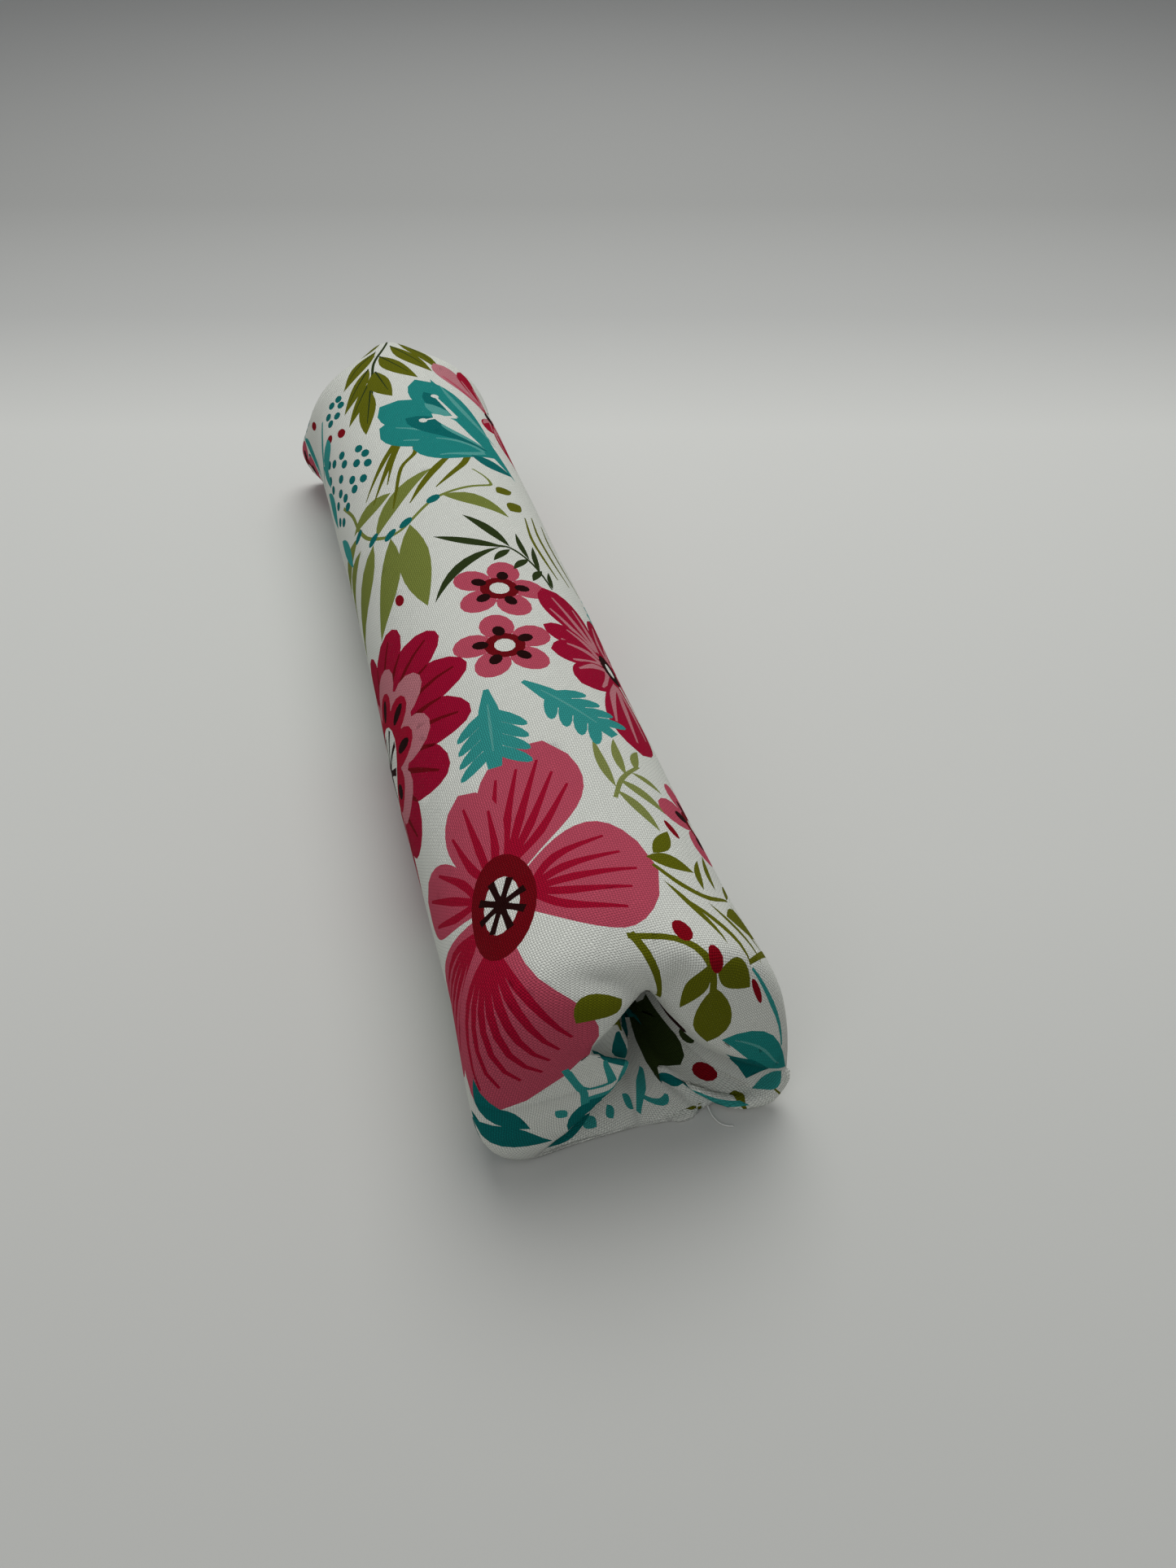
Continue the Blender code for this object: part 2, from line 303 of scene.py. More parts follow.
lip = shaped(
    (0, 4.0, 5.6, 35.4), (12, 6.2, 4.6, 32.4), (24, 8.8, 3.4, 28), (45, 14, 2.6, 20.5),
    (70, 20, 1.8, 14.5), (92, 25.2, 1.4, 10.4), (106, 27.8, 1.6, 7.6), (120, 26.8, 1.4, 3.6),
    (131, 24, 1.0, 1.6), (139, 19, 1.8, 1.4), (145, 14.6, 4.0, 2.4), (151, 10, 7.6, 4.4),
    (156, 10.4, 5.8, 2.4), (162, 12.6, 3.0, 0.7), (180, 2, 2.7, 0.5), (200, -9, 2.5, 0.5),
    (214, -15.6, 1.8, 0.8), (226, -14.6, 2.0, 2.2), (238, -11.4, 2.2, 4.8), (252, -6.8, 2.4, 9.8),
    (266, -2.0, 3.0, 15), (279, 0.2, 3.4, 20.2), (292, -3.2, 2.4, 24.8), (305, -6.8, 2.2, 28),
    (325, -3.0, 3.0, 32.2), (345, 1.2, 4.8, 34.8),
)
behind = shaped(
    (0, 4.0, 7.4, 32.6), (12, 6.0, 6.8, 29.6), (24, 8.2, 6.0, 25), (45, 12.8, 5.6, 17.6),
    (70, 17.8, 5.0, 11.8), (92, 22.2, 4.6, 8.2), (106, 24.4, 4.2, 6.4), (120, 23.8, 4.0, 4.6),
    (131, 21, 4.0, 3.4), (139, 16.6, 5.0, 3.4), (145, 12.8, 7.0, 4.4), (151, 9, 9.2, 5.8),
    (156, 8.4, 8.8, 4.2), (162, 9.6, 6.4, 2.6), (180, 2, 6.2, 2.2), (200, -7.4, 6.2, 2.2),
    (214, -12.4, 5.2, 2.8), (226, -12, 5.6, 3.6), (238, -9.4, 5.8, 5.2), (252, -5.4, 6.0, 8.4),
    (266, -1.4, 6.6, 12.2), (279, -0.2, 6.6, 16.0), (292, -3.6, 5.6, 19.4), (305, -5.6, 5.2, 23),
    (325, -2.0, 6.0, 28.0), (345, 2.0, 7.2, 31.8),
)
within = shaped(
    (0, 4.6, 9.6, 31.0), (12, 5.8, 9.8, 27.6), (24, 7.2, 10.0, 23), (45, 10.2, 10.2, 16),
    (70, 13.0, 10.2, 11.0), (92, 15.4, 10.0, 8.0), (106, 16.4, 9.6, 6.8), (120, 15.8, 9.4, 5.8),
    (131, 14, 9.4, 5.2), (139, 11.4, 9.8, 5.4), (145, 9.4, 10.4, 6.0), (151, 7.6, 11, 6.6),
    (156, 6.6, 10.8, 6.0), (162, 6.0, 9.8, 5.2), (180, 2, 9.4, 4.8), (200, -4, 9.6, 5.0),
    (214, -6.4, 10.0, 5.4), (226, -6, 10.2, 6.0), (238, -3.6, 10.6, 7.2), (252, 0.4, 11.0, 9.4),
    (266, 3.2, 11.4, 12.2), (279, 4.0, 11.2, 16.0), (292, 3.6, 10.6, 20.0), (305, 3.2, 10.0, 24),
    (325, 3.2, 9.6, 28.0), (345, 4.0, 9.4, 30.6),
)
deep = shaped(
    (0, 4.4, 20, 30.0), (30, 7.4, 20.5, 26.6), (60, 9.6, 21, 21.6), (90, 10.2, 22, 16.6),
    (120, 9, 22, 11.8), (150, 6, 22, 9.0), (180, 1.4, 22, 8.0), (210, -4.0, 22, 8.6),
    (240, -6.6, 22, 11.8), (270, -7.0, 21.5, 17), (300, -4.6, 21, 23.6), (330, -0.6, 20.5, 28.4),
)
near_rows = [
    body(24), body(14.5, 52.4), brow, shoulder, lip, lip, behind, within, deep,
    ring(10.0, 27), ring(10.2, 32), ring(10.2, 40),
]
# Rows of the far end, whose crest stands up to a point over two square corners
far_brow = shaped(
    (0, 0, 6, 43.6), (30, 12, 6, 38), (60, 22, 6, 28.5), (88, 28.6, 5, 16.5),
    (110, 29, 4.6, 9.5), (130, 24.5, 4, 3), (155, 14, 4, 0.6), (180, 0, 4, 0.2),
    (205, -14, 4, 0.6), (230, -25, 4, 2.5), (250, -29, 4.6, 9.5), (272, -28.4, 5, 17),
    (300, -20, 6, 29.5), (330, -10.5, 6, 38.5),
)
far_shoulder = shaped(
    (0, 0, 2.4, 43.0), (30, 10, 2.2, 36), (60, 19, 1.8, 27), (88, 28.2, 1.4, 15.5),
    (110, 28.9, 1.2, 9), (130, 24.5, 1, 2.4), (155, 14, 1, 0.7), (180, 0, 1, 0.3),
    (205, -14, 1, 0.7), (230, -25, 1, 2.4), (250, -29, 1.2, 9.5), (272, -28, 1.4, 16),
    (300, -18.5, 1.8, 27.5), (330, -9, 2.2, 36.5),
)


def mirrored(row):
    """The same folds with left and right exchanged."""
    return lambda turn: row(360 - turn) * np.array([-1, 1, 1])


far_rows = [
    body(24), body(14.5, 54.4), far_brow, far_shoulder, mirrored(lip), mirrored(lip),
    mirrored(behind), mirrored(within), mirrored(deep),
    ring(10.0, 27), ring(10.2, 32), ring(10.2, 40),
]


def lofted(rows, turn, places):
    """Rows of a cubic B-spline surface over key rows, at places counted in key rows."""
    keys = np.array([row(turn) for row in rows])
    keys = np.array([2 * keys[0] - keys[1], *keys, 2 * keys[-1] - keys[-2]])
    out = []
    for place in places:
        i = min(int(place), len(keys) - 4)
        t = place - i
        out.append(
            (1 - t) ** 3 / 6 * keys[i]
            + (3 * t**3 - 6 * t**2 + 4) / 6 * keys[i + 1]
            + (-3 * t**3 + 3 * t**2 + 3 * t + 1) / 6 * keys[i + 2]
            + t**3 / 6 * keys[i + 3]
        )
    return np.array(out)


def undulation(u, v):
    """How far the hand-rolled cloth stands off the even roll, in millimetres."""
    long_swell = 0.35 * np.sin(v / 21 + 0.6) * np.sin(u / 17 + 1.1)
    drag = 0.18 * np.sin((v + 1.6 * u) / 9.5) * np.sin(v / 33 + u / 29)
    return long_swell + drag


U_STEP = 0.6
ROW_STEPS = 14  # rows from each key row to the next
KEY_GAPS = len(near_rows) - 1
us = np.linspace(U_LOW, U_HIGH, round((U_HIGH - U_LOW) / U_STEP) + 1)
turn = degrees_at(us)
places = np.linspace(0, KEY_GAPS, KEY_GAPS * ROW_STEPS + 1)
near = lofted(near_rows, turn, places)
far = lofted(far_rows, turn, places)
near[:, :, 1] += NEAR_LIP
far[:, :, 1] = FAR_LIP - far[:, :, 1]
middle_v = np.linspace(START, FINISH, 130)[1:-1]
middle = np.array([body(v - MIDDLE_V)(turn) for v in middle_v])
grid = np.concatenate([near[::-1], middle, far])

# The start of the cloth lies two thicknesses further in, beneath the free edge, and it
# comes back out over the first millimetres that show
LAP_DROP = 0.75
LAP_CLIMB = 16
inward = np.gradient(grid, axis=1)
inward = np.cross(np.gradient(grid, axis=0), inward)
inward /= np.maximum(np.linalg.norm(inward, axis=2, keepdims=True), 1e-9)
beneath = np.clip(1 - (us - U_LOW - LAP) / LAP_CLIMB, 0, 1)
grid += LAP_DROP * beneath[None, :, None] * inward

# The swell of the hand-rolled cloth, which fades out at the ends and down at the table
steady = np.clip(
    np.minimum(np.arange(len(grid)), np.arange(len(grid))[::-1]) / len(near) - 0.55, 0, 0.45,
)
swell = undulation(us[None, :], grid[:, :, 1] + MIDDLE_V) * np.minimum(steady / 0.2, 1)[:, None]
lifted = np.clip(grid[:, :, 2] / 8, 0, 1)
grid -= (swell * lifted)[:, :, None] * inward

# v runs along the cloth, so that the print isn't stretched where the ends turn in
hop = np.linalg.norm(np.diff(grid, axis=0), axis=2)
travelled = np.concatenate([np.zeros((1, len(us))), np.cumsum(hop, axis=0)])
from_start = travelled - travelled[len(near) - 1]
vs = np.where(np.arange(len(grid))[:, None] < len(near), START + from_start, 0.0)
reached = travelled - travelled[len(near) + len(middle)]
vs += np.where(np.arange(len(grid))[:, None] >= len(near) + len(middle), FINISH + reached, 0.0)
vs[len(near) : len(near) + len(middle)] = middle_v[:, None]
V_LOW, V_HIGH = float(vs[0].max()), float(vs[-1].min())


def dent(at, reach, depth):
    """How far a dimple at (u, v) draws the cloth in, in millimetres."""
    return depth * np.exp(-(((us - at[0]) / reach[0]) ** 2) - ((vs - at[1]) / reach[1]) ** 2)


# The pinch draws in a dimple on its left and a crease on its right, with swells between
drawn = dent((-8.5, 7), (4.6, 4.4), 1.7) + dent((7.2, 4.6), (2.0, 3.6), 1.2)
drawn -= dent((0.5, 9.5), (3.4, 4.2), 0.8) + dent((12.6, 5.5), (3.2, 4.2), 0.7)
grid += drawn[:, :, None] * inward

# The same surface by v, so that a point of the flat cloth is quickly found on the bolt
V_STEP = 0.5
lattice_v = np.arange(V_LOW, V_HIGH, V_STEP)
lattice = np.empty((len(lattice_v), len(us), 3))
for j in range(len(us)):
    for k in range(3):
        lattice[:, j, k] = np.interp(lattice_v, vs[:, j], grid[:, j, k])


def on_cloth(u, v):
    """Where (u, v) of the flat cloth lies on the bolt, in metres."""
    i = np.clip((v - V_LOW) / V_STEP, 0, len(lattice_v) - 1.001)
    j = np.clip((u - U_LOW) / (us[1] - us[0]), 0, len(us) - 1.001)
    i0, j0 = i.astype(int), j.astype(int)
    a, b = (i - i0)[:, None], (j - j0)[:, None]
    return MM * (
        (1 - a) * ((1 - b) * lattice[i0, j0] + b * lattice[i0, j0 + 1])
        + a * ((1 - b) * lattice[i0 + 1, j0] + b * lattice[i0 + 1, j0 + 1])
    )


# The print. Each motif is an outline in flat millimetres and an ink; later ones lie on top.
def dye(red, green, blue):
    """A linear colour from its 8-bit display values."""
    value = np.array([red, green, blue]) / 255
    return tuple(np.where(value < 0.04045, value / 12.92, ((value + 0.055) / 1.055) ** 2.4))


BARE = dye(226, 228, 219)
ROSE = dye(192, 78, 98)
BLUSH = dye(196, 124, 132)
CRIMSON = dye(166, 6, 44)
MAGENTA = dye(162, 4, 48)
BERRY = dye(136, 0, 20)
DEEP_RED = dye(114, 0, 14)
MAROON = dye(34, 2, 2)
TEAL = dye(50, 150, 144)
HIBISCUS = dye(30, 138, 132)
DARK_TEAL = dye(2, 108, 106)
PALE_TEAL = dye(88, 166, 158)
MOSS = dye(124, 134, 60)
OLIVE = dye(100, 103, 8)
FERN = dye(134, 142, 76)
PINE = dye(44, 58, 22)
art = []


def line_through(points, per=5):
    """A smooth line through points, with per steps between each two."""
    p = np.array(points, float)
    if len(p) == 2:
        p = np.array([p[0], (p[0] + p[1]) / 2, p[1]])
    ends = np.concatenate([[2 * p[0] - p[1]], p, [2 * p[-1] - p[-2]]])
    out = []
    for i in range(len(p) - 1):
        a, b, c, d = ends[i : i + 4]
        for t in np.arange(per) / per:
            bend = (2 * a - 5 * b + 4 * c - d) * t**2 + (3 * b - a - 3 * c + d) * t**3
            out.append(0.5 * (2 * b + (c - a) * t + bend))
    return np.array([*out, p[-1]])


def stroke(ink, points, widths, per=4):
    """A brush stroke along points; widths are spread evenly along it."""
    middle = line_through(points, per)
    way = np.gradient(middle, axis=0)
    way /= np.maximum(np.linalg.norm(way, axis=1, keepdims=True), 1e-9)
    side = np.stack([-way[:, 1], way[:, 0]], axis=-1)
    share = np.linspace(0, 1, len(middle))
    half = np.interp(share, np.linspace(0, 1, len(widths)), widths)[:, None] / 2
    left, right = middle + side * half, middle - side * half
    art.append((ink, np.concatenate([left, right[::-1]])))


def leaf(ink, base, tip, width, bend=0.0, fullest=0.45):
    """A pointed leaf from base to tip, bending to the left of its way."""
    base, tip = np.array(base, float), np.array(tip, float)
    along = tip - base
    long = np.linalg.norm(along)
    side = np.array([-along[1], along[0]]) / long
    share = np.linspace(0, 1, 9)
    spine = base + share[:, None] * along + (4 * share * (1 - share))[:, None] * bend * side
    swell = np.where(share < fullest, share / fullest, (1 - share) / (1 - fullest))
    half = width / 2 * np.sin(swell * math.pi / 2)[:, None] ** 0.9
    left, right = spine + side * half, spine - side * half
    art.append((ink, np.concatenate([left[:-1], right[:0:-1]])))


def spot(ink, centre, across, along=None, lean=0.0, sides=12):
    """An oval dot; lean is in degrees."""
    along = across if along is None else along
    turn = np.linspace(0, 2 * math.pi, sides, endpoint=False)
    x, y = across / 2 * np.cos(turn), along / 2 * np.sin(turn)
    c, n = math.cos(math.radians(lean)), math.sin(math.radians(lean))
    art.append((ink, np.stack([centre[0] + c * x - n * y, centre[1] + n * x + c * y], -1)))


def shifted(draw, du, dv):
    """Prints a motif again, elsewhere in the repeat."""
    first = len(art)
    draw()
    for i in range(first, len(art)):
        art[i] = (art[i][0], art[i][1] + np.array([du, dv]))


def petal(ink, heart, way, long, wide, streaks=0, streak_ink=None):
    """A round-ended petal that leaves heart at an angle, with brushed streaks along it."""
    a = math.radians(way)
    along = np.array([math.cos(a), math.sin(a)])
    side = np.array([-along[1], along[0]])
    share = np.linspace(0, 1, 15)
    half = wide / 2 * np.sin(math.pi * share**1.7)[:, None] ** 0.62
    spine = np.array(heart) + long * share[:, None] * along
    art.append((ink, np.concatenate([(spine + side * half)[:-1], (spine - side * half)[:0:-1]])))
    for lean in np.linspace(-1, 1, streaks) if streaks else ():
        reach = long * (0.86 - 0.14 * abs(lean))
        root = heart + 0.2 * long * along + 0.02 * wide * lean * side
        waist = heart + 0.55 * reach * along + 0.22 * wide * lean * side
        stroke(
            streak_ink, (root, waist, heart + reach * along + 0.34 * wide * lean * side),
            (1.2, 1.6, 0.5),
        )


def star(heart, rays, reach, turn=0.0):
    """The dark stamens in a flower's eye."""
    for ray in range(rays):
        a = math.radians(turn + ray * 360 / rays)
        tip = (heart[0] + reach * math.cos(a), heart[1] + 1.1 * reach * math.sin(a))
        stroke(MAROON, (heart, tip), (1.3, 1.1, 1.4), per=2)


def rose():
    """The large open flower: six streaked petals round a dark eye."""
    heart = np.array([-15.8, 28.4])
    for way, long, wide, streaks in (
        (64, 36, 19, 5), (94, 27.5, 12, 3), (138, 27, 13, 3), (197, 33, 18, 5),
        (243, 38, 25, 7), (357, 26.5, 23, 5),
    ):
        petal(ROSE, heart, way, long, wide, streaks, CRIMSON)
    spot(DEEP_RED, heart, 12.8, 19.6, -12, 26)
    spot(BARE, heart, 7.0, 10.6, -16, 18)
    star(heart, 8, 4.7, 8)
    spot(MAROON, heart, 2.6, 3.2)


def berry_sprig():
    """The olive sprig with crimson berries, over the pinch."""
    stroke(OLIVE, ((0.2, 14.7), (7.2, 12.4), (12.2, 7.7), (15, 1)), (1.1, 1.0, 1.1, 1.4))
    stroke(OLIVE, ((0.9, 15), (2.8, 8), (3.6, 1)), (1.5, 1.7, 1.4))
    stroke(OLIVE, ((0, 3.2), (-9, -1.8), (-18, -7.4)), (0.9, 1.3, 0.8))
    leaf(OLIVE, (-9.6, 1.8), (-18, 2.0), 6.4, -0.6)
    leaf(OLIVE, (11.8, 7.4), (9.4, -1.8), 4.0, 0.4)
    leaf(OLIVE, (13.8, 6.4), (21.4, 4.8), 5.6, 0.5)
    leaf(OLIVE, (14.2, 3.4), (18.8, -9.8), 8.0, 0.4, 0.6)
    spot(BERRY, (9.0, 13.5), 2.9, 4.2, 8)
    spot(BERRY, (13.2, 8.3), 2.4, 4.4, 20)
    spot(BERRY, (23.2, 4.8), 1.5, 4.9, 52)


def fern():
    """The light green fern behind the rose."""
    stroke(FERN, ((8.6, 44), (11.5, 49), (16.5, 53.4)), (0.8, 1.0, 0.7))
    for base, tip, width in (
        ((9.6, 46.6), (9.2, 60), 1.9), ((12.6, 50), (13.6, 60.6), 2.0),
        ((15.4, 52), (18.4, 58.6), 1.9), ((14, 51), (19.4, 47), 1.6),
        ((10.6, 48.8), (17.6, 41), 2.2), ((9.4, 46), (14.4, 36), 2.2),
    ):
        leaf(FERN, base, tip, width, 0.5)
    spot(BERRY, (17.3, 37.3), 1.5, 4.4, 22)


def grasses():
    """Olive grass heads and blades on the right of the rose."""
    leaf(OLIVE, (11.0, 30.6), (16.0, 36.4), 3.0, -0.4)
    leaf(OLIVE, (9.4, 29.8), (17.8, 27.2), 3.4, 0.4)
    stroke(OLIVE, ((10.0, 28.0), (13.6, 23.6), (18, 21.6), (24, 23.4)), (0.7, 1.2, 1.2, 0.5))
    for base, tip, width, bend in (
        ((18, 23.4), (20.4, 31), 1.5, 0.5), ((21.5, 24.6), (23.2, 33.5), 1.4, 0.4),
        ((10.5, 24.4), (16, 10.6), 1.3, 0.5), ((12.6, 20.6), (20.4, 8), 1.3, 0.6),
        ((17.2, 20.4), (23.4, 9.2), 1.2, 0.5), ((21.6, 20.6), (26, 11.6), 1.2, 0.4),
        ((24, 22.6), (29, 12.6), 1.2, 0.4), ((24, 23.6), (29.5, 30), 1.6, 0.4),
    ):
        leaf(OLIVE, base, tip, width, bend)


def small_flower(centre, petals, turn=0.0, size=1.0):
    """A small rose-pink flower with a maroon ring and dots."""
    cu, cv = centre
    for i in range(petals):
        a = math.radians(turn + 360 * i / petals)
        spot(
            ROSE, (cu + 6.4 * size * math.cos(a), cv + 6.4 * size * math.sin(a)), 8.4 * size,
            7.2 * size, turn + 360 * i / petals, 14,
        )
    spot(DEEP_RED, centre, 8.4 * size, 8.0 * size, 0, 14)
    for i in range(petals):
        way = turn + 360 * i / petals
        a = math.radians(way)
        dot = (cu + 4.9 * size * math.cos(a), cv + 4.9 * size * math.sin(a))
        spot(MAROON, dot, 3.4 * size, 2.6 * size, way, 10)
    spot(BARE, centre, 4.3 * size, 4.3 * size)


def small_flowers():
    """Two small flowers, one above the other."""
    small_flower((3.4, 110.2), 5, 70)
    small_flower((0.0, 90.6), 5, 20)


def side_flower():
    """The magenta flower on the right flank."""
    heart = np.array([24.0, 88.0])
    for way, long, wide, streaks in (
        (114, 26, 11, 3), (148, 17, 7, 2), (178, 15, 8, 2), (222, 15.5, 9, 2), (262, 30, 12, 3),
        (68, 24, 13, 3), (12, 20, 13, 3), (322, 20, 12, 2),
    ):
        petal(MAGENTA, heart, way, long, wide, streaks, BLUSH)
    spot(MAROON, heart, 5.6, 9.4, 6, 14)
    spot(BARE, heart, 2.2, 4.4, 6)


def lobed_leaf(base, tip, wide, pairs=4):
    """A teal leaf cut into round lobes on both sides of its rib."""
    base, tip = np.array(base, float), np.array(tip, float)
    way = math.degrees(math.atan2(*(tip - base)[::-1]))
    stroke(TEAL, (base, tip), (1.0, 4.6, 4.2, 2.6))
    for pair in range(pairs):
        joint = base + (tip - base) * (0.3 + 0.62 * pair / pairs)
        for turn in (-52, 52):
            a = math.radians(way + turn)
            lobe = joint + 0.27 * wide * np.array([math.cos(a), math.sin(a)])
            spot(TEAL, lobe, 0.62 * wide, 2.7, way + turn)
    stroke(PALE_TEAL, (base + 0.2 * (tip - base), base + 0.8 * (tip - base)), (0.3, 0.6, 0.3))


def coral_leaves():
    """Two lobed teal leaves, below the small flowers."""
    lobed_leaf((-6.6, 78.4), (-9.6, 57.6), 15)
    lobed_leaf((0.6, 78.4), (14.4, 61.6), 13)


def layered_flower():
    """The large magenta flower on the left flank: petals, two scalloped rings and a star."""
    heart = np.array([-40.0, 86.0])
    PETALS, LOBES = 14, 9

    def towards(degrees_round, reach):
        a = math.radians(degrees_round)
        return heart + reach * np.array([math.cos(a), math.sin(a)])

    spot(MAGENTA, heart, 44, 44, 0, 24)
    for i in range(PETALS):
        way = 4 + 360 * i / PETALS
        spot(MAGENTA, towards(way, 20), 23.6, 12.6, way, 18)
    for i in range(PETALS):
        way = 4 + 360 * i / PETALS
        stroke(DEEP_RED, (towards(way, 14), towards(way + 1, 29)), (1.0, 1.1, 0.5), per=2)
        stroke(DEEP_RED, (towards(way + 12.9, 14), towards(way + 12.9, 25)), (1.6, 1.4, 0.5), per=2)
    for ink, middle, size, reach in ((BLUSH, 34, 10.6, 16.4), (CRIMSON, 26, 8.6, 12.2)):
        spot(ink, heart, middle, middle, 0, 24)
        for i in range(LOBES):
            way = 16 + 360 / LOBES * i
            spot(ink, towards(way, reach), size * 1.15, size, way, 14)
    for i in range(LOBES):
        way = 16 + 360 / LOBES * i
        spot(MAROON, towards(way, 13.2), 5.0, 2.9, way, 10)
    spot(BARE, heart, 18.6, 19.6, 0, 20)
    for i in range(LOBES):
        stroke(MAROON, (heart, towards(34 + 360 / LOBES * i, 8.8)), (1.5, 1.2, 1.7), per=2)
    spot(MAROON, heart, 4.4)
    spot(BERRY, (-18, 118.5), 2.2, 4.2, 8)


def leafy_branch():
    """The light olive branch with broad leaves and teal berries, across the middle."""
    leaf(MOSS, (-15.7, 141.6), (-26.0, 112.8), 6.4, 1.6)
    leaf(MOSS, (-10.4, 142.8), (-12.2, 110.8), 7.6, -0.8)
    leaf(MOSS, (-19.4, 146), (-1, 164), 5.2, 1.6, 0.4)
    leaf(MOSS, (-12.4, 159.6), (-26.4, 157.4), 5.4, -0.4)
    leaf(MOSS, (-1.2, 151), (12.5, 140), 4.8, 1.4, 0.4)
    leaf(MOSS, (-20.6, 145.0), (-38.4, 123.8), 7.6, 1.2)
    leaf(MOSS, (-24.5, 154.5), (-44, 158), 6.5, 1.4, 0.45)
    leaf(MOSS, (-25, 149), (-45, 143), 6.5, -1.0, 0.45)
    stroke(
        MOSS,
        (
            (-28, 174), (-25, 165), (-24, 157), (-22, 150), (-19, 145.5), (-16, 142.7),
            (-13, 142.2), (-10, 144), (-4.5, 149), (-1, 151), (5, 153), (11, 155), (11.6, 157.4),
            (10.6, 160), (8.5, 162.8),
        ),
        (0.9, 1.0, 1.0, 1.0, 0.9, 0.9, 0.8, 0.5),
    )
    for centre in ((-24.7, 154.6), (-20.3, 146.6), (-15.6, 143.0), (-11.2, 144.2), (-3.4, 150.0)):
        spot(DARK_TEAL, centre, 2.6, 4.0, -52)


def dark_sprig():
    """The dark green sprig over the first small flower."""
    stroke(
        PINE, ((5.4, 127.4), (9.5, 126.4), (13, 122), (15, 117), (16, 112)),
        (0.5, 0.7, 0.7, 0.7, 0.4),
    )
    for base, tip, width, bend in (
        ((8.6, 126.4), (-6.4, 134.4), 2.6, 0.8), ((9.6, 126.8), (1.6, 141), 2.6, -0.6),
        ((7.4, 126.6), (-10.6, 110.4), 2.5, -2.2), ((9.4, 125.8), (4.6, 121), 1.9, -0.3),
        ((13, 122.6), (8.3, 117.6), 1.8, -0.3), ((15.4, 119), (11.8, 113.6), 1.8, -0.3),
        ((13.2, 122.4), (12.4, 133.2), 1.5, 0.4), ((14.6, 118), (15.6, 129), 1.5, 0.3),
        ((16.3, 112.4), (17.2, 119.4), 1.3, 0.2),
    ):
        leaf(PINE, base, tip, width, bend)
    leaf(OLIVE, (12.2, 151.8), (17.2, 155.8), 3.6, 0.3)
    leaf(OLIVE, (13.6, 143.6), (18.0, 149.4), 3.8, 0.3)
    stroke(OLIVE, ((17.4, 143), (16.4, 133), (17.6, 125), (19.4, 118)), (0.4, 0.9, 0.9, 0.4))
    stroke(OLIVE, ((20.4, 146), (19.2, 136), (20.4, 126), (23, 118)), (0.4, 0.9, 0.9, 0.4))
    stroke(OLIVE, ((24, 146), (22.6, 136), (24, 126), (27, 118)), (0.4, 0.9, 0.9, 0.4))


def roots():
    """Olive blades that trail from under the teal flower."""
    for points, widths in (
        (
            ((-3.6, 184), (-3.4, 174), (-8, 168), (-11, 159), (-13, 152.5)),
            (1.2, 1.2, 1.1, 0.9, 0.4),
        ),
        (((5.6, 171.6), (0, 164), (-5, 157), (-8.8, 151.4)), (1.0, 2.0, 1.6, 0.3)),
        (((9.4, 171), (6.6, 165), (2, 159), (-1.8, 154.8)), (1.6, 1.6, 1.2, 0.3)),
        (((-4, 186), (-12, 174), (-19.5, 163.4)), (1.4, 1.6, 0.3)),
        (((-4, 186), (-10, 173), (-17.6, 159.6)), (1.4, 2.0, 0.3)),
        (((-4, 186), (-9, 174), (-12.6, 163.6)), (1.2, 1.2, 0.3)),
    ):
        stroke(OLIVE, points, widths, per=5)


def teal_flower():
    """The teal trumpet flower, seen from the side, with white stamens."""
    throat = np.array([19.0, 174.0])
    for ink, way, long, wide, streaks in (
        (HIBISCUS, 110, 45, 15, 0), (HIBISCUS, 133, 40, 17, 0), (HIBISCUS, 149, 34, 19, 3),
        (HIBISCUS, 176, 23, 14, 2), (DARK_TEAL, 113, 37, 8, 0), (DARK_TEAL, 139, 29, 9, 0),
        (PALE_TEAL, 120, 31, 5, 0), (PALE_TEAL, 132, 20, 5, 0), (BARE, 126, 25, 5, 0),
    ):
        petal(ink, throat, way, long, wide, streaks, PALE_TEAL)
    leaf(HIBISCUS, (8, 217), (21.4, 165), 6.4, -1.4)
    leaf(PALE_TEAL, (10, 214), (20.2, 182), 2.0, -1.0)
    leaf(DARK_TEAL, (10, 171), (21, 167), 5.4, -1.2)
    for tip in ((7.2, 205.4), (1.4, 190.6)):
        stroke(BARE, (tip, (10.6, 193)), (0.6, 1.5))
        spot(BARE, tip, 2.2, 2.4)


def olive_branch():
    """The dark olive branch at the far end."""
    stroke(
        PINE, ((2.4, 249), (1, 245.5), (-3, 237), (-6, 229), (-8, 219), (-9, 212)),
        (0.8, 0.9, 0.9, 0.8, 0.8, 0.5),
    )
    for base, tip, width, bend in (
        ((-2.6, 247.5), (-9.6, 238), 3.0, 0.5), ((-4.6, 238.6), (-16.6, 222), 4.6, 0.6),
        ((-7.6, 227.6), (-18.4, 209.6), 4.4, 0.6), ((-8.4, 220), (-18, 201.6), 4.0, 0.6),
        ((-9.2, 214.4), (-13.9, 191.8), 5.0, -0.4), ((4.4, 246), (12.6, 224), 4.4, -0.6),
        ((0.6, 240.6), (9.8, 222.6), 5.2, -0.8), ((-3.6, 234.2), (4.8, 217.8), 6.0, -1.0),
        ((-6.2, 224.8), (-4.0, 207.6), 6.4, -1.2),
    ):
        leaf(OLIVE, base, tip, width, bend, 0.42)
        inner_tip = (0.25 * base[0] + 0.75 * tip[0], 0.25 * base[1] + 0.75 * tip[1])
        stroke(PINE, (base, inner_tip), (0.5, 0.4, 0.2), per=2)


